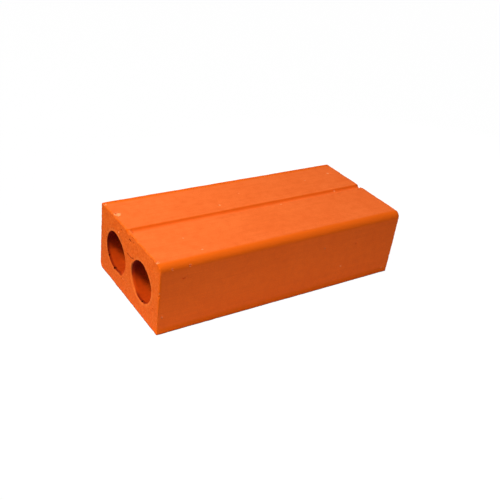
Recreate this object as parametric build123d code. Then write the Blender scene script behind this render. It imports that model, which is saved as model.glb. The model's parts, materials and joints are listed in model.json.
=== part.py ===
from build123d import *
import os

# Perforated brick of fired clay. It is pushed through a die as one column with two round tunnels,
# cut to length by taut wires and fired, so it is a single solid.
# X runs along the column, Y across it and Z up. The front, with the well rounded upper arris,
# faces -Y. The origin is the middle of the underside. Everything is in millimetres.

# Overall size
length = 210.0
width = 95.0
height = 55.0

# Cores: two round tunnels along the whole length, at mid height
core_diameter = 30.0
core_web = 12.5  # clay left between the two cores

# Long arrises, each as the die leaves it
front_top_radius = 5.0
front_bottom_radius = 0.5
back_top_radius = 2.0
back_bottom_radius = 4.0

# Groove along the upper bed, a round-bottomed channel just behind the middle
groove_offset = 1.5  # from the middle of the bed to the deepest line, towards the back
groove_depth = 2.0
groove_bottom_radius = 3.2
groove_lip_radius = 0.6

# Wire-cut ends: the burr is worn off the sharp cut edges, outside and at the mouths of the cores
cut_edge_radius = 0.3

front_y = -width / 2
back_y = width / 2
core_pitch = core_diameter + core_web
groove_centre_z = height - groove_depth + groove_bottom_radius
groove_half_width = (groove_bottom_radius**2 - (groove_centre_z - height) ** 2) ** 0.5


def corner_at(outline, y, z):
    """The corner of the outline that is nearest to a place in the section."""
    return outline.vertices().sort_by_distance((y, z))[0]


def die_section():
    """The section of the column, in the plane across it, with Y to the right and Z up."""
    outline = Pos(0, height / 2) * Rectangle(width, height)
    outline -= Pos(groove_offset, groove_centre_z) * Circle(groove_bottom_radius)
    rounded_corners = [
        (front_y, 0, front_bottom_radius),
        (front_y, height, front_top_radius),
        (back_y, 0, back_bottom_radius),
        (back_y, height, back_top_radius),
        (groove_offset - groove_half_width, height, groove_lip_radius),
        (groove_offset + groove_half_width, height, groove_lip_radius),
    ]
    for y, z, radius in rounded_corners:
        outline = fillet(corner_at(outline, y, z), radius)
    cores = [
        Pos(side * core_pitch / 2, height / 2) * Circle(core_diameter / 2)
        for side in (-1, 1)
    ]
    return outline - cores


def fired_brick():
    """The column cut to length, with the edges of both cut ends worn round."""
    column = extrude(Plane.YZ * die_section(), amount=length / 2, both=True)
    cut_ends = column.faces().filter_by(Axis.X)
    return fillet(cut_ends.edges(), cut_edge_radius)


brick = fired_brick()
brick.label = "brick"

os.makedirs("parts", exist_ok=True)
export_step(brick, "parts/brick.step")
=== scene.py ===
import json
import math
import random

import bpy
from mathutils import Euler, Matrix, Vector


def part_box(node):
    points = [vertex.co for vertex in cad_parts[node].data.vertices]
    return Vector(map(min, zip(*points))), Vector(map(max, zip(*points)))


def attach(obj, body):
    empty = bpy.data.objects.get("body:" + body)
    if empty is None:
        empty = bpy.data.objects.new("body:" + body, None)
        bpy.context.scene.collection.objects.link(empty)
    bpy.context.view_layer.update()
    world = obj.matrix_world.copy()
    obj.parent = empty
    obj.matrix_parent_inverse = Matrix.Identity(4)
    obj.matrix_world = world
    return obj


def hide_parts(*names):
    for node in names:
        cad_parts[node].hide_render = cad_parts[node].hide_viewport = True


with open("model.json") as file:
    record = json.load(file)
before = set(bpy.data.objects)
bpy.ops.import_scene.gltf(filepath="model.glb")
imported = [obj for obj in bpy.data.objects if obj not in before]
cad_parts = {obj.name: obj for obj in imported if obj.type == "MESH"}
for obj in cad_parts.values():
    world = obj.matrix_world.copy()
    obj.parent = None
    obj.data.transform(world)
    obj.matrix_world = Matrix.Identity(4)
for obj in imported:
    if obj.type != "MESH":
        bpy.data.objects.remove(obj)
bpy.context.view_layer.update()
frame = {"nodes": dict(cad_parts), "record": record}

# The brick's own places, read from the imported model, in millimetres
LOW, HIGH = [[1000 * value for value in corner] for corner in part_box("brick")]
NEAR, FRONT, BASE = LOW
FAR, BACK, TOP = HIGH
MOUNTS = {mount["name"]: mount for mount in frame["record"]["mounts"]}
CORES = [[1000 * value for value in MOUNTS[name]["pos_m"][1:]] for name in ("core_front", "core_back")]
CORE_RADIUS = MOUNTS["core_front"]["dims"]["r_mm"]

# The groove along the upper bed, in mm: its middle, its half width with the lips, and its depth
GROOVE_Y = 1.5
GROOVE_HALF_WIDTH = 3.4
GROOVE_DEPTH = 2.0

# How far the near mouth of each core is worn out (or burred in, where negative) in mm, at angles in
# degrees from +Y towards +Z, and how deep that reaches. The back core's is torn to a pointed tail.
FRONT_MOUTH = (
    (-180, 0.0), (-80, 0.0), (-58, 0.9), (-38, 1.6), (-15, 1.4), (0, 1.8), (20, 1.6), (32, 0.3),
    (60, 0.1), (98, -0.2), (112, -0.8), (135, -0.7), (152, -0.5), (165, 0.0), (180, 0.0),
)
BACK_MOUTH = (
    (-180, 2.0), (-165, 2.3), (-150, 2.8), (-135, 3.0), (-126, 3.5), (-119, 2.2), (-105, 0.3), (-90, 0.0),
    (80, 0.0), (95, -0.4), (112, -0.5), (130, -0.1), (150, 0.7), (165, 1.4), (180, 2.0),
)
MOUTH_WEAR = ((FRONT_MOUTH, 2.5), (BACK_MOUTH, 2.0))

# The fine crack across the web, an arc in the near end: middle (y, z) and radius in mm, and its two
# ends in degrees from straight down
CRACK_CENTRE = (-1.2, 56.9)
CRACK_RADIUS = 19.7
CRACK_ENDS = (12.3, -23.6)

# Chips that show fresh clay: the middle and half sizes in mm and the turn in degrees of each crumb
# that left, and how pale the break is, from 0 to 1
CHIPS = (
    # Off the near upper arris
    ((-104.0, 43.0, TOP - 0.1), (1.3, 1.4, 0.8), (0, 25, 0), 0.8),
    ((-101.9, 26.2, TOP), (1.8, 2.8, 1.0), (0, 8, 0), 0.8),
    ((-104.4, -41.2, TOP), (1.4, 1.6, 0.9), (0, 30, 10), 0.8),
    # Out of the near end, and off its front arris
    ((NEAR, 16.8, 46.3), (0.5, 0.9, 0.8), (20, 0, 0), 0.8),
    ((-104.6, FRONT, 34.4), (0.9, 0.7, 0.9), (0, 0, 0), 0.4),
    # Out of the upper bed, and off the groove's back lip
    ((-25.0, 13.1, TOP), (1.0, 0.7, 0.4), (0, 0, 20), 0.7),
    ((-1.0, 24.5, TOP), (0.7, 0.6, 0.4), (0, 0, 70), 0.7),
    ((-74.0, -19.8, TOP), (0.8, 0.6, 0.4), (0, 0, 10), 0.7),
    ((93.0, 30.9, TOP), (1.2, 0.9, 0.5), (0, 0, 40), 0.7),
    ((21.0, -1.9, TOP), (1.0, 0.6, 0.4), (0, 0, 10), 0.7),
    ((-69.0, -37.6, TOP), (0.9, 0.7, 0.4), (0, 0, -20), 0.7),
    ((65.0, 25.9, TOP), (0.8, 0.6, 0.4), (0, 0, 30), 0.7),
    ((78.6, 3.3, TOP - 0.9), (1.0, 1.3, 0.8), (0, 0, 0), 0.35),
    # Out of the front
    ((-82.9, -47.2, 51.3), (1.2, 0.5, 0.8), (0, 10, 0), 0.5),
    ((-96.1, -47.2, 51.2), (1.1, 0.5, 0.7), (0, 0, 0), 0.45),
    ((-101.8, FRONT, 14.6), (1.0, 0.4, 0.9), (0, 0, 0), 0.45),
    ((32.6, FRONT, 38.2), (1.0, 0.4, 0.8), (0, 0, 0), 0.45),
    ((52.7, FRONT, 17.7), (1.0, 0.3, 0.7), (0, 0, 0), 0.45),
    ((98.9, FRONT, 4.9), (1.1, 0.5, 0.9), (0, 20, 0), 0.5),
)

# Grains torn from under the cores' lips: the core (0 is the front one, 1 the back one), the angle as
# for the mouths, and the depth and half size in mm
TORN_GRAINS = ((1, -85, 1.0, 1.1), (1, -40, 0.8, 0.6), (0, -98, 1.0, 0.8))

# How finely the clay is modelled, in millimetres, and how many triangles it may end with
CLAY_GRAIN = 0.42
CUTTER_GRAIN = 0.16
MOST_TRIANGLES = 190_000

# Turns of the surface that are sharper than this, in degrees, stay crisp
CRISP_TURN = 50


def mm(*values):
    """Millimetres as metres: one number, or a vector of three."""
    if len(values) == 1:
        return values[0] / 1000
    return Vector(values) / 1000


def linear(hex_colour):
    """An sRGB hex colour as linear red, green, blue and alpha."""
    parts = [int(hex_colour[i : i + 2], 16) / 255 for i in (1, 3, 5)]
    return [p / 12.92 if p <= 0.04045 else ((p + 0.055) / 1.055) ** 2.4 for p in parts] + [1.0]


def ramp(value, start, end):
    """0 at start, 1 at end, and smooth between them."""
    share = min(max((value - start) / (end - start), 0.0), 1.0)
    return share * share * (3 - 2 * share)


# Camera, light and floor


def make_camera():
    """The photograph's viewing place: over the near left corner, with the frame leaning a little."""
    place = mm(-295.0, -390.8, 308.6)
    aim = mm(-11.1, -13.7, 27.5)
    lean = math.radians(7.98)
    data = bpy.data.cameras.new("camera")
    data.sensor_width = 36.0
    data.lens = 52.4
    camera = bpy.data.objects.new("camera", data)
    bpy.context.scene.collection.objects.link(camera)
    level = (aim - place).to_track_quat("-Z", "Y").to_matrix()
    camera.matrix_world = Matrix.Translation(place) @ (level @ Matrix.Rotation(lean, 3, "Z")).to_4x4()
    bpy.context.scene.camera = camera


def make_lamp(name, place, aim, size, watts):
    """A square soft box, its size in metres, that shines from a place at what it is aimed at."""
    data = bpy.data.lights.new(name, "AREA")
    data.size = size
    data.energy = watts
    lamp = bpy.data.objects.new(name, data)
    bpy.context.scene.collection.objects.link(lamp)
    turn = (aim - place).to_track_quat("-Z", "Y")
    lamp.matrix_world = Matrix.Translation(place) @ turn.to_matrix().to_4x4()


def make_world():
    """A white studio: full white to the camera, and a faint even fill on the brick."""
    world = bpy.data.worlds.new("studio")
    bpy.context.scene.world = world
    world.use_nodes = True
    tree = world.node_tree
    fill = tree.nodes["Background"]
    fill.inputs["Color"].default_value = linear("#FFFFFF")
    fill.inputs["Strength"].default_value = 0.16
    seen = add_node(tree, "Background", {"Color": linear("#FFFFFF"), "Strength": 1.0})
    camera_ray = add_node(tree, "LightPath", {}, out="Is Camera Ray")
    blend = add_node(tree, "MixShader", {0: camera_ray, 1: fill.outputs[0], 2: seen})
    tree.links.new(blend, tree.nodes["World Output"].inputs[0])


def make_floor():
    """A sheet of white paper that runs out to grey, so that the front gets its light from near by."""
    bpy.ops.mesh.primitive_plane_add(size=6.0, location=(0, 0, mm(-0.1)))
    floor = bpy.context.object
    floor.name = "floor"
    paper = bpy.data.materials.new("white_paper")
    paper.use_nodes = True
    tree = paper.node_tree
    shader = tree.nodes["Principled BSDF"]
    shader.inputs["Roughness"].default_value = 0.9
    shader.inputs["Specular IOR Level"].default_value = 0.2
    place = add_node(tree, "TexCoord", {}, out="Object")
    middle, all_white, all_grey = mm(160, -130, 0), mm(270), mm(420)
    reach = add_node(tree, "VectorMath", {0: place, 1: middle}, operation="DISTANCE", out="Value")
    past_sheet = add_node(
        tree, "MapRange", {0: reach, 1: all_white, 2: all_grey}, interpolation_type="SMOOTHSTEP"
    )
    tone = tinted(tree, linear("#FFFFFF"), [(past_sheet, 1.0, "#606060")])
    tree.links.new(tone, shader.inputs["Base Color"])
    # Seen straight on, the paper is white but for a trace of the brick's shadow
    glow = add_node(tree, "Emission", {"Color": linear("#FFFFFF"), "Strength": 1.1})
    camera_ray = add_node(tree, "LightPath", {}, out="Is Camera Ray")
    share = add_node(tree, "Math", {0: camera_ray, 1: 0.9}, operation="MULTIPLY")
    blend = add_node(tree, "MixShader", {0: share, 1: shader.outputs[0], 2: glow})
    tree.links.new(blend, tree.nodes["Material Output"].inputs[0])
    floor.data.materials.append(paper)


def add_node(tree, kind, inputs, out=0, **settings):
    """A node with its settings. Each input is a value or the output that feeds it. Gives one output."""
    node = tree.nodes.new("ShaderNode" + kind)
    for setting, value in settings.items():
        setattr(node, setting, value)
    for socket, value in inputs.items():
        if isinstance(value, bpy.types.NodeSocket):
            tree.links.new(value, node.inputs[socket])
        else:
            node.inputs[socket].default_value = value
    return node.outputs[out]


def tinted(tree, colour, tones):
    """The colour with tones laid over it in turn: each is a share from 0 to 1, its most, and the tone."""
    for share, most, tone in tones:
        amount = add_node(tree, "Math", {0: share, 1: most}, operation="MULTIPLY")
        colour = add_node(
            tree, "Mix", {0: amount, 6: colour, 7: linear(tone)}, data_type="RGBA", out=2
        )
    return colour


# The fired body: the die's column, with what the wire, the fire and handling did to it


def deselect_all():
    bpy.ops.object.select_all(action="DESELECT")


def pick(piece):
    """Make one piece the only one that the operators act on."""
    deselect_all()
    piece.select_set(True)
    bpy.context.view_layer.objects.active = piece


def shape(piece, kind, **settings):
    """Put a modifier on a piece and apply it."""
    pick(piece)
    modifier = piece.modifiers.new(kind.lower(), kind)
    for setting, value in settings.items():
        setattr(modifier, setting, value)
    bpy.ops.object.modifier_apply(modifier=modifier.name)


def join(pieces, name):
    """Several meshes as one."""
    deselect_all()
    for piece in pieces:
        piece.select_set(True)
    bpy.context.view_layer.objects.active = pieces[0]
    bpy.ops.object.join()
    pieces[0].name = name
    return pieces[0]


def column_of_clay():
    """A copy of the modelled brick, with its loose triangles merged."""
    mesh = frame["nodes"]["brick"].data.copy()
    column = bpy.data.objects.new("fired_brick", mesh)
    bpy.context.scene.collection.objects.link(column)
    pick(column)
    bpy.ops.object.mode_set(mode="EDIT")
    bpy.ops.mesh.select_all(action="SELECT")
    bpy.ops.mesh.remove_doubles(threshold=mm(0.01))
    bpy.ops.object.mode_set(mode="OBJECT")
    return column


def lump(place, size, turn=(0, 0, 0), rough=0.12, seed=0):
    """A crumb-shaped lump: place, half sizes and roughness in millimetres, turn in degrees."""
    bpy.ops.mesh.primitive_ico_sphere_add(subdivisions=3, radius=1.0)
    crumb = bpy.context.object
    draw = random.Random(seed)
    facet_count = 7
    facets = [Vector([draw.gauss(0, 1) for _ in range(3)]).normalized() for _ in range(facet_count)]
    reaches = [draw.uniform(0.72, 0.98) for _ in facets]
    turned = Euler([math.radians(angle) for angle in turn]).to_matrix().to_4x4()
    place_it = Matrix.Translation(mm(*place)) @ turned
    for corner in crumb.data.vertices:
        # Flat facets, as where clay breaks from grain to grain
        for facet, reach in zip(facets, reaches):
            past = corner.co.dot(facet) - reach
            if past > 0:
                corner.co -= facet * past
        wobble = Vector([draw.uniform(-rough, rough) for _ in range(3)])
        corner.co = place_it @ mm(*[c * s + w for c, s, w in zip(corner.co, size, wobble)])
    return crumb


def rim_place(core, angle, out=0.0, depth=0.0):
    """A place on a core's near mouth: angle in degrees from +Y towards +Z, out and depth in mm."""
    y, z = CORES[core]
    reach = CORE_RADIUS + out
    turn = math.radians(angle)
    return (NEAR + depth, y + reach * math.cos(turn), z + reach * math.sin(turn))


def smears():
    """Clay that the wire dragged over the near end of the groove, and a little over the far end."""
    # y, z and how far each lump reaches along the groove
    lumps = ((-0.9, 53.3, 1.5), (1.2, 53.0, 1.7), (3.4, 53.2, 1.6))
    pieces = [
        lump((NEAR + reach + 0.1, y, z), (reach, 1.9, 1.7), rough=0.1, seed=180 + i)
        for i, (y, z, reach) in enumerate(lumps)
    ]
    return pieces + [lump((FAR - 1.4, -0.7, 53.8), (1.3, 1.3, 1.0), rough=0.1, seed=183)]


def broken_out():
    """Crumbs that have come out of the brick: pits, chips and torn rims. Places are x, y, z in mm."""
    crumbs = [chip[:3] for chip in CHIPS]
    crumbs += [
        # Pits in the near end
        ((NEAR, -2.0, 49.5), (2.8, 1.7, 1.4), (25, 0, 0)),
        ((NEAR, -7.5, 50.6), (1.3, 1.2, 0.7), (10, 0, 0)),
        ((NEAR, 12.8, 49.9), (1.2, 1.5, 0.8), (-15, 0, 0)),
        ((NEAR, 9.8, 11.0), (1.6, 0.9, 0.7), (40, 0, 0)),
        ((NEAR, 1.6, 5.9), (1.6, 0.9, 0.7), (20, 0, 0)),
        ((NEAR, -13.4, 8.9), (1.2, 0.7, 0.5), (0, 0, 0)),
        ((NEAR, 37.2, 30.8), (1.1, 0.9, 0.7), (0, 0, 0)),
        ((NEAR, 39.5, 34.0), (0.5, 0.8, 0.6), (40, 0, 0)),
        ((NEAR, -39.9, 17.7), (1.4, 0.8, 0.6), (30, 0, 0)),
        ((NEAR, -43.0, 37.0), (0.5, 0.7, 0.4), (60, 0, 0)),
        ((NEAR, 42.0, 12.5), (0.5, 0.9, 0.4), (-30, 0, 0)),
        # Dull nicks in the near upper arris
        ((NEAR, 30.2, TOP), (0.6, 1.0, 0.5), (0, 30, 0)),
        ((NEAR, 13.5, TOP), (0.6, 1.2, 0.5), (0, 30, 0)),
        ((NEAR, -22.0, TOP), (0.6, 1.6, 0.5), (0, 30, 0)),
        # A scratch, a blot and a nick in the front
        ((-87.2, FRONT, 42.5), (1.6, 0.35, 0.4), (0, -8, 0)),
        ((64.1, FRONT, 36.2), (0.8, 0.3, 1.1), (0, 30, 0)),
        ((NEAR, FRONT, 31.9), (1.1, 1.0, 1.1), (0, 0, 0)),
    ]
    for core, angle, depth, size in TORN_GRAINS:
        spot = rim_place(core, angle, out=0.3, depth=depth)
        crumbs.append((spot, (1.1, size, size), (angle, 0, 0)))
    # Nicks in the rims of the mouths: core, angle and half size
    nicks = ((0, 62, 0.5), (0, 168, 0.7), (0, -112, 1.0), (1, 55, 0.5), (1, -28, 0.7))
    for core, angle, size in nicks:
        spot = rim_place(core, angle, out=0.2, depth=0.1)
        crumbs.append((spot, (0.8, size, 0.9 * size), (angle, 0, 0)))
    crumbs += far_crumbs()
    return [lump(place, size, turn, seed=200 + i) for i, (place, size, turn) in enumerate(crumbs)]


def far_crumbs():
    """Pits and nicks in the far end, and chips off the lower front arris and the upper back one."""
    draw = random.Random(5)
    crumbs = []
    # Pits in the far end, then nicks in its upper arris
    for _ in range(13):
        y, z = draw.uniform(-43, 43), draw.uniform(4, 51)
        size = draw.uniform(0.5, 1.3)
        crumbs.append(((FAR, y, z), (0.8 * size, size, 0.6 * size), (draw.uniform(0, 180), 0, 0)))
    for _ in range(5):
        y = draw.uniform(-38, 42)
        crumbs.append(((FAR, y, TOP), (0.9, draw.uniform(0.9, 1.8), 0.8), (0, -30, 0)))
    for x in (-96, -58, 17, 71):
        crumbs.append(((x, FRONT, BASE), (draw.uniform(1.0, 2.2), 0.7, 0.6), (0, 0, 0)))
    for x in (-44, 38, 88):
        crumbs.append(((x, BACK, TOP), (draw.uniform(1.2, 2.6), 0.9, 0.7), (0, 0, 0)))
    return crumbs


def crack_place(share):
    """The y and z of a place on the crack's arc, from its back end at 0 to its front end at 1."""
    swing = math.radians(CRACK_ENDS[0] + (CRACK_ENDS[1] - CRACK_ENDS[0]) * share)
    y = CRACK_CENTRE[0] + CRACK_RADIUS * math.sin(swing)
    z = CRACK_CENTRE[1] - CRACK_RADIUS * math.cos(swing)
    return y, z


def crack():
    """The fine arc that opened from the web to the front core, as a thin wedge to cut with."""
    half_width, depth, steps = 0.45, 1.5, 14
    bpy.ops.mesh.primitive_cylinder_add(vertices=6, radius=1.0, depth=2.0, end_fill_type="TRIFAN")
    wedge = bpy.context.object
    pick(wedge)
    bpy.ops.object.mode_set(mode="EDIT")
    bpy.ops.mesh.select_all(action="SELECT")
    for level in range(1, steps):
        height = 2.0 * level / steps - 1.0
        bpy.ops.mesh.bisect(plane_co=(0, 0, height), plane_no=(0, 0, 1))
    bpy.ops.object.mode_set(mode="OBJECT")
    for corner in wedge.data.vertices:
        share = (corner.co.z + 1) / 2
        # The wedge thins towards both ends, but never to nothing
        thin = math.sin(math.pi * min(max(share, 0.04), 0.96)) ** 0.5
        y, z = crack_place(share)
        corner.co = mm(NEAR + depth * thin * corner.co.x, y, z + half_width * thin * corner.co.y)
    bpy.ops.object.mode_set(mode="EDIT")
    bpy.ops.mesh.select_all(action="SELECT")
    bpy.ops.mesh.normals_make_consistent(inside=False)
    bpy.ops.object.mode_set(mode="OBJECT")
    return wedge


def weigh(piece, name, weight_at):
    """A vertex group with weight_at(x, y, z), from 0 to 1, at each corner. Places are in mm."""
    group = piece.vertex_groups.new(name=name)
    levels = 16
    corners_at = [[] for _ in range(levels + 1)]
    for corner in piece.data.vertices:
        x, y, z = corner.co
        corners_at[round(levels * weight_at(1000 * x, 1000 * y, 1000 * z))].append(corner.index)
    for level in range(1, levels + 1):
        if corners_at[level]:
            group.add(corners_at[level], level / levels, "REPLACE")


def depths(x, y, z):
    """How far a place lies behind the nearest end, long side and bed, in mm."""
    return FAR - abs(x), BACK - abs(y), min(z, TOP - z)


def core_reach(y, z):
    """How far a place is from the nearer core's axis, in mm."""
    return min(math.hypot(y - core_y, z - core_z) for core_y, core_z in CORES)


def on_end(x, y, z):
    """On the cut ends, and not in the mouths of the cores."""
    clear_of_core = ramp(core_reach(y, z), CORE_RADIUS + 0.2, CORE_RADIUS + 1.5)
    return clear_of_core * (1 - ramp(depths(x, y, z)[0], 0.4, 1.6))


def on_cut_arris(x, y, z):
    """Near the arrises that the wire left, and not in the cores."""
    behind_end, behind_side, behind_bed = depths(x, y, z)
    return 1 - ramp(max(behind_end, min(behind_side, behind_bed)), 0.3, 2.4)


def on_long_arris(x, y, z):
    """Near the four long arrises, and half as much near the two lips of the groove."""
    _, behind_side, behind_bed = depths(x, y, z)
    arris = 1 - ramp(max(behind_side, behind_bed), 0.5, 4.0)
    if z <= TOP - 0.6:
        return arris
    to_lip = abs(abs(y - GROOVE_Y) - GROOVE_HALF_WIDTH)
    return max(arris, 0.5 * (1 - ramp(to_lip, 0.3, 1.6)))


def in_core(x, y, z):
    """On the walls of the cores."""
    return 1 - ramp(core_reach(y, z), CORE_RADIUS + 0.2, CORE_RADIUS + 0.5)


def on_face(x, y, z):
    """On the long sides and the two beds."""
    return (1 - in_core(x, y, z)) * (1 - on_end(x, y, z))


def roughen(piece, zone, grain, depth, stretch=1.0, start=(0, 0, 0), **settings):
    """Raise and sink a zone within depth mm, by lumps of grain mm that are stretched along the column."""
    pattern = bpy.data.textures.new(f"{zone}_{grain}", "CLOUDS")
    pattern.noise_scale = mm(grain)
    for setting, value in settings.items():
        setattr(pattern, setting, value)
    bpy.ops.object.empty_add(location=mm(*start), scale=(stretch, 1, 1))
    guide = bpy.context.object
    # A mid level over one half sinks the clay more than it raises it, as wear does
    shape(
        piece,
        "DISPLACE",
        texture=pattern,
        texture_coords="OBJECT",
        texture_coords_object=guide,
        strength=mm(depth),
        mid_level=0.6,
        vertex_group=zone,
    )
    bpy.data.objects.remove(guide)


def wear_mouths(piece):
    """Wear the near mouths of the cores out or in, and fade that away round the rim and into the core."""
    rim, clear_of_rim = 0.3, 5.0
    for corner in piece.data.vertices:
        x, y, z = 1000 * corner.co
        for (core_y, core_z), (knots, depth) in zip(CORES, MOUTH_WEAR):
            reach = math.hypot(y - core_y, z - core_z)
            share = (1 - ramp(x - NEAR, 0, depth)) * (1 - ramp(reach - CORE_RADIUS, rim, clear_of_rim))
            if share > 0:
                angle = math.degrees(math.atan2(z - core_z, y - core_y))
                for (start, at_start), (end, at_end) in zip(knots, knots[1:]):
                    if start <= angle <= end:
                        out = at_start + (at_end - at_start) * (angle - start) / (end - start)
                        grown = 1 + share * out / reach
                corner.co = mm(x, core_y + grown * (y - core_y), core_z + grown * (z - core_z))


def flatten_to_box(piece):
    """Bring back to the modelled faces whatever the roughening raised past them."""
    low, high = mm(*LOW), mm(*HIGH)
    for corner in piece.data.vertices:
        corner.co = [min(max(c, a), b) for c, a, b in zip(corner.co, low, high)]


def fired_brick():
    """One lump of fired clay, with its smears, pits, chips, torn ends and worn arrises."""
    clay = join([column_of_clay()] + smears(), "fired_brick")
    shape(clay, "REMESH", mode="VOXEL", voxel_size=mm(CLAY_GRAIN))

    weigh(clay, "end", on_end)
    weigh(clay, "cut_arris", on_cut_arris)
    weigh(clay, "long_arris", on_long_arris)
    weigh(clay, "core", in_core)
    weigh(clay, "face", on_face)
    # The die leaves long, faint waves
    roughen(clay, "face", grain=30.0, depth=0.30, stretch=3.0, start=(7, 3, 5))
    roughen(clay, "face", grain=5.0, depth=0.10, stretch=14.0, start=(1, 8, 2))
    # The wire tears grains and leaves soft ridges
    roughen(clay, "end", grain=7.0, depth=0.34, start=(3, 1, 9), noise_depth=1)
    roughen(clay, "end", grain=1.7, depth=0.34, start=(5, 2, 4), noise_depth=2)
    # Handling wears the arrises, more in some places than in others
    roughen(clay, "cut_arris", grain=7.0, depth=0.40, start=(2, 9, 1), noise_depth=2)
    roughen(clay, "long_arris", grain=9.0, depth=0.32, stretch=2.0, start=(8, 4, 6), noise_depth=3)
    # The core bars leave marks along the cores
    roughen(clay, "core", grain=2.6, depth=0.22, stretch=20.0, start=(4, 7, 3))
    wear_mouths(clay)

    crumbs = join(broken_out() + [crack()], "crumbs")
    shape(crumbs, "REMESH", mode="VOXEL", voxel_size=mm(CUTTER_GRAIN))
    shape(clay, "BOOLEAN", operation="DIFFERENCE", solver="MANIFOLD", object=crumbs)
    bpy.data.objects.remove(crumbs)

    shape(clay, "TRIANGULATE")
    share = MOST_TRIANGLES / len(clay.data.polygons)
    if share < 1:
        shape(clay, "DECIMATE", ratio=share)
    flatten_to_box(clay)
    pick(clay)
    bpy.ops.object.shade_smooth_by_angle(angle=math.radians(CRISP_TURN))
    clay.vertex_groups.clear()
    clay.data.materials.clear()
    clay.data.materials.append(fired_clay())
    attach(clay, "root")
    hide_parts("brick")


# The clay's finishes. Of a MapRange, inputs 1 and 2 are the values that give 0 and 1.


def clay_places(tree):
    """Where a point of the clay is, in millimetres, as the outputs that every finish reads."""
    metres = add_node(tree, "TexCoord", {}, out="Object")
    place = add_node(tree, "VectorMath", {0: metres, "Scale": 1000.0}, operation="SCALE")
    x = add_node(tree, "SeparateXYZ", {0: place})
    y, z = x.node.outputs[1], x.node.outputs[2]
    half_z = (BASE + TOP) / 2
    off_x = add_node(tree, "Math", {0: x}, operation="ABSOLUTE")
    off_y = add_node(tree, "Math", {0: y}, operation="ABSOLUTE")
    level_z = add_node(tree, "Math", {0: z, 1: half_z}, operation="SUBTRACT")
    off_z = add_node(tree, "Math", {0: level_z}, operation="ABSOLUTE")
    behind_end = add_node(tree, "Math", {0: FAR, 1: off_x}, operation="SUBTRACT")
    behind_side = add_node(tree, "Math", {0: BACK, 1: off_y}, operation="SUBTRACT")
    behind_bed = add_node(tree, "Math", {0: half_z, 1: off_z}, operation="SUBTRACT")
    behind_skin = add_node(tree, "Math", {0: behind_side, 1: behind_bed}, operation="MINIMUM")
    # The place in the section, and the same place with the column drawn short, for long streaks
    in_section = add_node(tree, "VectorMath", {0: place, 1: (0, 1, 1)}, operation="MULTIPLY")
    along = add_node(tree, "VectorMath", {0: place, 1: (0.04, 1, 1)}, operation="MULTIPLY")
    reaches = [
        add_node(tree, "VectorMath", {0: in_section, 1: (0, *core)}, operation="DISTANCE", out="Value")
        for core in CORES
    ]
    core_reach = add_node(tree, "Math", {0: reaches[0], 1: reaches[1]}, operation="MINIMUM")
    off_core = add_node(tree, "Math", {0: core_reach, 1: CORE_RADIUS}, operation="SUBTRACT")
    return {
        "place": place,
        "in_section": in_section,
        "along": along,
        "y": y,
        "z": z,
        "behind_end": behind_end,
        "behind_side": behind_side,
        "behind_bed": behind_bed,
        "behind_skin": behind_skin,
        "off_core": off_core,
    }


def core_zones(tree, at):
    """How much of a core's dark tone, itself painted shade, a point has, and how much more painted shade
    lies there.
    """
    # A break beside a mouth gets the core's dark tone too, painted shade, so the share reaches past the
    # rim
    in_core = add_node(tree, "MapRange", {0: at["off_core"], 1: 3.4, 2: 2.6})
    # Round the back core's tail, and where clay is smeared into the front core's mouth, the tone of
    # the end turns more slowly to the core's
    tail, smeared = rim_place(1, 195), rim_place(0, -36)
    away = add_node(tree, "VectorMath", {0: at["place"], 1: tail}, operation="DISTANCE", out="Value")
    tear = add_node(tree, "MapRange", {0: away, 1: 13.0, 2: 9.0})
    away = add_node(tree, "VectorMath", {0: at["place"], 1: smeared}, operation="DISTANCE", out="Value")
    smear = add_node(tree, "MapRange", {0: away, 1: 8.5, 2: 4.0})
    turned_by = add_node(tree, "Math", {0: smear, 1: 0.4}, operation="ADD")
    turned_by = add_node(tree, "Math", {0: tear, 1: 0.6, 2: turned_by}, operation="MULTIPLY_ADD")
    in_mouth = add_node(tree, "MapRange", {0: at["behind_end"], 1: 0.05, 2: turned_by})
    core = add_node(tree, "Math", {0: in_core, 1: in_mouth}, operation="MULTIPLY")
    # Painted shade on the roofs and upper walls of the cores, which face down away from the light, and a
    # painted shadow just inside the sharp parts of the mouths, under their rims
    above_axis = add_node(tree, "Math", {0: at["z"], 1: CORES[0][1]}, operation="SUBTRACT")
    roof_shade = add_node(
        tree,
        "MapRange",
        {0: above_axis, 1: -8.5, 2: 5.0, 3: 0.0, 4: 0.96},
        interpolation_type="SMOOTHSTEP",
    )
    mouth_shadow = add_node(tree, "MapRange", {0: at["behind_end"], 1: 2.6, 2: 0.9, 3: 0.0, 4: 0.8})
    soft = add_node(tree, "Math", {0: smear, 1: tear}, operation="MAXIMUM")
    sharp = add_node(tree, "Math", {0: 1.0, 1: soft}, operation="SUBTRACT")
    mouth_shadow = add_node(tree, "Math", {0: mouth_shadow, 1: sharp}, operation="MULTIPLY")
    past_mouth = add_node(tree, "Math", {0: 1.0, 1: mouth_shadow}, operation="SUBTRACT")
    core_shade = add_node(tree, "Math", {0: roof_shade, 1: past_mouth, 2: mouth_shadow}, operation="MULTIPLY_ADD")
    return core, core_shade


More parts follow.
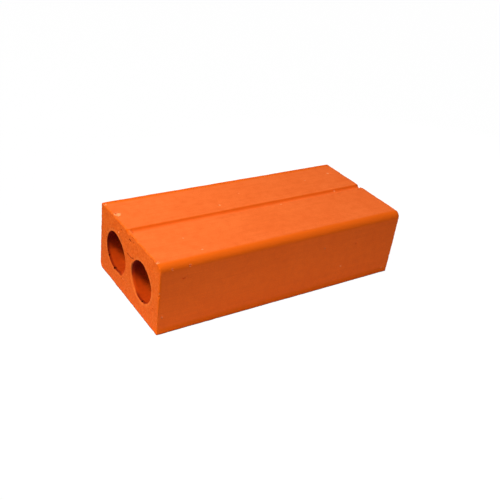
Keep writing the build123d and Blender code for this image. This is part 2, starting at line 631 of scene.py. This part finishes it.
def arris_shade_zone(tree, at, rubbed):
    """Where the arrises get a deeper orange as painted shade of their rounded turn: near a long arris, or
    near a cut one as far as it is rubbed.
    """
    to_long = add_node(tree, "Math", {0: at["behind_side"], 1: at["behind_bed"]}, operation="MAXIMUM")
    long_arris = add_node(
        tree, "MapRange", {0: to_long, 1: 6.6, 2: 3.2}, interpolation_type="SMOOTHSTEP"
    )
    to_cut = add_node(tree, "Math", {0: at["behind_skin"], 1: at["behind_end"]}, operation="MAXIMUM")
    cut_arris = add_node(tree, "MapRange", {0: to_cut, 1: 2.2, 2: 0.5}, interpolation_type="SMOOTHSTEP")
    # The wire left the upper cut arrises crisp, and hands rubbed the lower ones more, so the painted
    # arris shade is stronger low down
    low_down = add_node(tree, "MapRange", {0: at["z"], 1: TOP - 8, 2: TOP - 1, 3: 0.8, 4: 0.25})
    cut_arris = add_node(tree, "Math", {0: cut_arris, 1: low_down}, operation="MULTIPLY")
    cut_arris = add_node(tree, "Math", {0: cut_arris, 1: rubbed}, operation="MULTIPLY")
    return add_node(tree, "Math", {0: long_arris, 1: cut_arris}, operation="MAXIMUM")


def groove_shade_zone(tree, at):
    """High on the groove's back wall, which faces away from the light: painted shade, darkest there."""
    off_groove = add_node(tree, "Math", {0: at["y"], 1: GROOVE_Y}, operation="SUBTRACT")
    up_back = add_node(tree, "MapRange", {0: off_groove, 1: 0.2, 2: 2.6})
    past_lip, on_wall = GROOVE_HALF_WIDTH + 0.6, GROOVE_HALF_WIDTH - 0.6
    short_of_lip = add_node(tree, "MapRange", {0: off_groove, 1: past_lip, 2: on_wall})
    sunk = add_node(tree, "Math", {0: TOP, 1: at["z"]}, operation="SUBTRACT")
    shallow = add_node(tree, "MapRange", {0: sunk, 1: GROOVE_DEPTH + 0.9, 2: GROOVE_DEPTH + 0.5})
    groove_shade = add_node(tree, "Math", {0: up_back, 1: short_of_lip}, operation="MULTIPLY")
    return add_node(tree, "Math", {0: groove_shade, 1: shallow}, operation="MULTIPLY")


def pit_shade_zone(tree, at):
    """Painted shade in a pit of an end, a little behind it and clear of the skin and cores, or where a
    grain left.
    """
    sunk_in = add_node(tree, "MapRange", {0: at["behind_end"], 1: 0.25, 2: 1.3})
    clear_of_skin = add_node(tree, "MapRange", {0: at["behind_skin"], 1: 2.2, 2: 2.8})
    clear_of_core = add_node(tree, "MapRange", {0: at["off_core"], 1: 2.6, 2: 3.4})
    pit_shade = add_node(tree, "Math", {0: sunk_in, 1: clear_of_skin}, operation="MULTIPLY")
    pit_shade = add_node(tree, "Math", {0: pit_shade, 1: clear_of_core}, operation="MULTIPLY")
    for core, angle, depth, size in TORN_GRAINS:
        spot = rim_place(core, angle, out=0.3, depth=depth)
        away = add_node(tree, "VectorMath", {0: at["place"], 1: spot}, operation="DISTANCE", out="Value")
        hollow = add_node(tree, "MapRange", {0: away, 1: 1.3 * size, 2: 0.8 * size})
        pit_shade = add_node(tree, "Math", {0: pit_shade, 1: hollow}, operation="MAXIMUM")
    return pit_shade


def crack_shade_zone(tree, at):
    """On the crack, within half a millimetre of its arc, where it is painted dark as shade."""
    centre, middle = (0, *CRACK_CENTRE), (NEAR, *crack_place(0.5))
    reach = add_node(
        tree, "VectorMath", {0: at["in_section"], 1: centre}, operation="DISTANCE", out="Value"
    )
    off_arc = add_node(tree, "Math", {0: reach, 1: CRACK_RADIUS}, operation="SUBTRACT")
    off_arc = add_node(tree, "Math", {0: off_arc}, operation="ABSOLUTE")
    on_arc = add_node(tree, "MapRange", {0: off_arc, 1: 0.55, 2: 0.2})
    along = add_node(tree, "VectorMath", {0: at["place"], 1: middle}, operation="DISTANCE", out="Value")
    half_chord = math.dist(crack_place(0), crack_place(1)) / 2
    short_of_ends = add_node(tree, "MapRange", {0: along, 1: half_chord + 0.3, 2: half_chord - 0.7})
    return add_node(tree, "Math", {0: on_arc, 1: short_of_ends}, operation="MULTIPLY")


def chip_zone(tree, at):
    """On a fresh break with ragged edges, and how pale it is."""
    ragged = add_node(tree, "TexNoise", {"Vector": at["place"], "Scale": 1 / 1.2, "Detail": 2.0})
    chip = 0.0
    for spot, half_sizes, _, paleness in CHIPS:
        size = max(half_sizes)
        away = add_node(tree, "VectorMath", {0: at["place"], 1: spot}, operation="DISTANCE", out="Value")
        edge = add_node(tree, "Math", {0: ragged, 1: size, 2: away}, operation="MULTIPLY_ADD")
        fresh = add_node(tree, "MapRange", {0: edge, 1: 1.5 * size, 2: 1.15 * size, 4: paleness})
        chip = add_node(tree, "Math", {0: chip, 1: fresh}, operation="MAXIMUM")
    return chip


def rim_highlight_zone(tree, at, rubbed):
    """On the thin rim round a core's mouth, as far as it is rubbed: a paler orange that is partly smeared
    clay and partly a painted highlight on the rim's edge.
    """
    near_rim = add_node(tree, "MapRange", {0: at["off_core"], 1: 3.2, 2: 1.4})
    at_end = add_node(tree, "MapRange", {0: at["behind_end"], 1: 1.0, 2: 0.5})
    out_of_core = add_node(tree, "MapRange", {0: at["off_core"], 1: 0.2, 2: 0.9})
    rim = near_rim
    for share in (at_end, out_of_core, rubbed):
        rim = add_node(tree, "Math", {0: rim, 1: share}, operation="MULTIPLY")
    return rim


def clay_zones(tree, at):
    """The kinds of surface that a point is on, as shares from 0 to 1."""
    # Hands rub arrises and rims in patches of about 9 mm
    handling = add_node(tree, "TexNoise", {"Vector": at["place"], "Scale": 1 / 9, "Detail": 3.0})
    rubbed = add_node(tree, "MapRange", {0: handling, 1: 0.35, 2: 0.65, 3: 0.25, 4: 1.0})
    core, core_shade = core_zones(tree, at)
    cut = add_node(
        tree, "MapRange", {0: at["behind_end"], 1: 1.1, 2: 0.5}, interpolation_type="SMOOTHSTEP"
    )
    # How far a point lies towards a long side rather than a bed, for the sides' painted shade
    nearer_bed = add_node(tree, "Math", {0: at["behind_side"], 1: at["behind_bed"]}, operation="SUBTRACT")
    side = add_node(tree, "MapRange", {0: nearer_bed, 1: 3.0, 2: -3.0})
    # A thin dark line is painted along the foot of the brick: painted contact shadow where it meets the
    # floor
    foot_shadow = add_node(tree, "MapRange", {0: at["z"], 1: 1.2, 2: 0.5})
    return {
        "core": core,
        "core_shade": core_shade,
        "cut": cut,
        "side": side,
        "foot_shadow": foot_shadow,
        "arris": arris_shade_zone(tree, at, rubbed),
        "groove_shade": groove_shade_zone(tree, at),
        "rim": rim_highlight_zone(tree, at, rubbed),
        "pit_shade": pit_shade_zone(tree, at),
        "crack": crack_shade_zone(tree, at),
        "chip": chip_zone(tree, at),
    }


def die_skin(tree, at, zone):
    """The skin that slid along the die: close, even clay with slow clouds and faint drag lines."""
    # Clouds from uneven firing, about 40 mm across
    clouds = add_node(tree, "TexNoise", {"Vector": at["place"], "Scale": 1 / 40, "Detail": 2.0})
    # Mottling where the clay was pugged, 6 mm
    mottle = add_node(tree, "TexNoise", {"Vector": at["place"], "Scale": 1 / 6, "Detail": 3.0})
    # Lines dragged by grit in the die, about 1.5 mm apart
    drag = add_node(tree, "TexNoise", {"Vector": at["along"], "Scale": 1 / 1.5, "Detail": 3.0})
    # Grog and sand, 0.9 mm, as coarse as it needs to be to show
    sand = add_node(tree, "TexNoise", {"Vector": at["place"], "Scale": 1 / 0.9, "Detail": 2.0})
    bed = tinted(tree, linear("#F56E2C"), [(clouds, 1.0, "#FF7C39")])
    # The long sides are painted a deeper, darker orange than the beds: painted shade on the sides, which
    # the light from above reaches less
    shaded_flank = tinted(tree, linear("#F4661C"), [(clouds, 1.0, "#FD7024")])
    colour = add_node(tree, "Mix", {0: zone["side"], 6: bed, 7: shaded_flank}, data_type="RGBA", out=2)
    darker = ((mottle, 0.35, "#E9601F"), (drag, 0.22, "#E45C1E"), (sand, 0.30, "#E25A1C"))
    for pattern, most, tone in darker:
        spots = add_node(tree, "MapRange", {0: pattern, 1: 0.42, 2: 0.72})
        colour = tinted(tree, colour, [(spots, most, tone)])
    drag_height = add_node(tree, "Math", {0: drag, 1: 0.05}, operation="MULTIPLY")
    height = add_node(tree, "Math", {0: sand, 1: 0.07, 2: drag_height}, operation="MULTIPLY_ADD")
    return colour, height


def wire_cut(tree, at):
    """The cut ends: open, grainy clay that the wire tore, with smeared and plucked patches."""
    # Plucked patches, 5 mm
    patches = add_node(tree, "TexNoise", {"Vector": at["place"], "Scale": 1 / 5, "Detail": 3.0})
    # Torn grains, 1.3 mm
    grains = add_node(tree, "TexNoise", {"Vector": at["place"], "Scale": 1 / 1.3, "Detail": 2.0})
    # Gaps between grains, 2.4 mm apart
    gaps = add_node(
        tree, "TexVoronoi", {"Vector": at["place"], "Scale": 1 / 2.4, "Randomness": 1.0}, out="Distance"
    )
    # The ends are painted darker towards the foot: painted shade on their lower part
    low_down = add_node(tree, "MapRange", {0: at["z"], 1: TOP - 5, 2: BASE + 5})
    torn = add_node(tree, "MapRange", {0: grains, 1: 0.45, 2: 0.75})
    pale = add_node(tree, "MapRange", {0: grains, 1: 0.44, 2: 0.25})
    tones = (
        (patches, 1.0, "#FF7824"),
        (low_down, 0.5, "#C6541A"),
        (torn, 0.4, "#CB4B10"),
        (pale, 0.5, "#FF8040"),
    )
    gap_height = add_node(tree, "Math", {0: gaps, 1: -0.05}, operation="MULTIPLY")
    height = add_node(tree, "Math", {0: grains, 1: 0.22, 2: gap_height}, operation="MULTIPLY_ADD")
    return tinted(tree, linear("#EC590F"), tones), height


def core_wall(tree, at, zone):
    """The walls of the cores: a dark red painted in as shade of the recesses, wiped lengthwise."""
    # Wiping marks 2.5 mm apart, and darker patches of 9 mm
    wiped = add_node(tree, "TexNoise", {"Vector": at["along"], "Scale": 1 / 2.5, "Detail": 3.0})
    patches = add_node(tree, "TexNoise", {"Vector": at["place"], "Scale": 1 / 9, "Detail": 2.0})
    dark = add_node(tree, "MapRange", {0: patches, 1: 0.4, 2: 0.7})
    # Deeper in, the walls are painted lighter: painted light along the cores
    painted_light_deep = add_node(tree, "MapRange", {0: at["behind_end"], 1: 8.0, 2: 30.0})
    tones = (
        (wiped, 1.0, "#D24504"),
        (dark, 0.4, "#9C2C02"),
        (painted_light_deep, 1.0, "#F4640C"),
        # painted shade on the roofs and painted shadow inside the mouths
        (zone["core_shade"], 1.0, "#6C1004"),
    )
    height = add_node(tree, "Math", {0: wiped, 1: 0.08}, operation="MULTIPLY")
    # The base is a dark red, painted shade of the recess
    return tinted(tree, linear("#BC3802"), tones), height


def fired_clay():
    """Common red clay, extruded, wire-cut and fired unglazed: porous, so it is dull all over."""
    clay = bpy.data.materials.new("fired_clay")
    clay.use_nodes = True
    tree = clay.node_tree
    at = clay_places(tree)
    zone = clay_zones(tree, at)
    colour, height = die_skin(tree, at, zone)
    finishes = ((zone["cut"], wire_cut(tree, at)), (zone["core"], core_wall(tree, at, zone)))
    for share, (finish_colour, finish_height) in finishes:
        colour = add_node(
            tree, "Mix", {0: share, 6: colour, 7: finish_colour}, data_type="RGBA", out=2
        )
        height = add_node(tree, "Mix", {0: share, 2: height, 3: finish_height})
    # Painted shade gives the rounded arrises a deeper orange, draws a dark line along the foot, and
    # darkens the groove's back wall, the pits and the crack. The paler orange on the mouths' rims is
    # partly smeared clay and partly a painted highlight. Fresh breaks are pale
    tones = (
        # painted shade: a deeper orange on the rounded arrises
        (zone["arris"], 0.9, "#F06408"),
        # painted contact shadow along the foot
        (zone["foot_shadow"], 0.95, "#5E1E07"),
        # painted shade on the groove's back wall
        (zone["groove_shade"], 0.88, "#E85E08"),
        # partly smeared clay, partly a painted highlight on the rims
        (zone["rim"], 0.5, "#FF8338"),
        # painted shade in the pits
        (zone["pit_shade"], 1.0, "#4A1404"),
        # painted shade in the crack
        (zone["crack"], 0.7, "#8A2A06"),
        (zone["chip"], 1.0, "#FFA76C"),
    )
    colour = tinted(tree, colour, tones)
    # Heights are in millimetres
    bump = add_node(tree, "Bump", {"Height": height, "Strength": 1.0, "Distance": mm(1)})
    shader = tree.nodes["Principled BSDF"]
    shader.inputs["Roughness"].default_value = 0.92
    shader.inputs["Specular IOR Level"].default_value = 0.06
    tree.links.new(colour, shader.inputs["Base Color"])
    tree.links.new(bump, shader.inputs["Normal"])
    return clay


bpy.context.scene.view_settings.view_transform = "Standard"
deselect_all()
make_camera()
make_world()
make_floor()
# The key light stands high on the left, and a white card beyond it lifts the near end
make_lamp("key", place=mm(-460, -14, 860), aim=mm(0, 0, 30), size=0.2, watts=8.1)
make_lamp("card", place=mm(-850, -60, 420), aim=mm(NEAR, 0, 27), size=0.5, watts=1.4)
fired_brick()
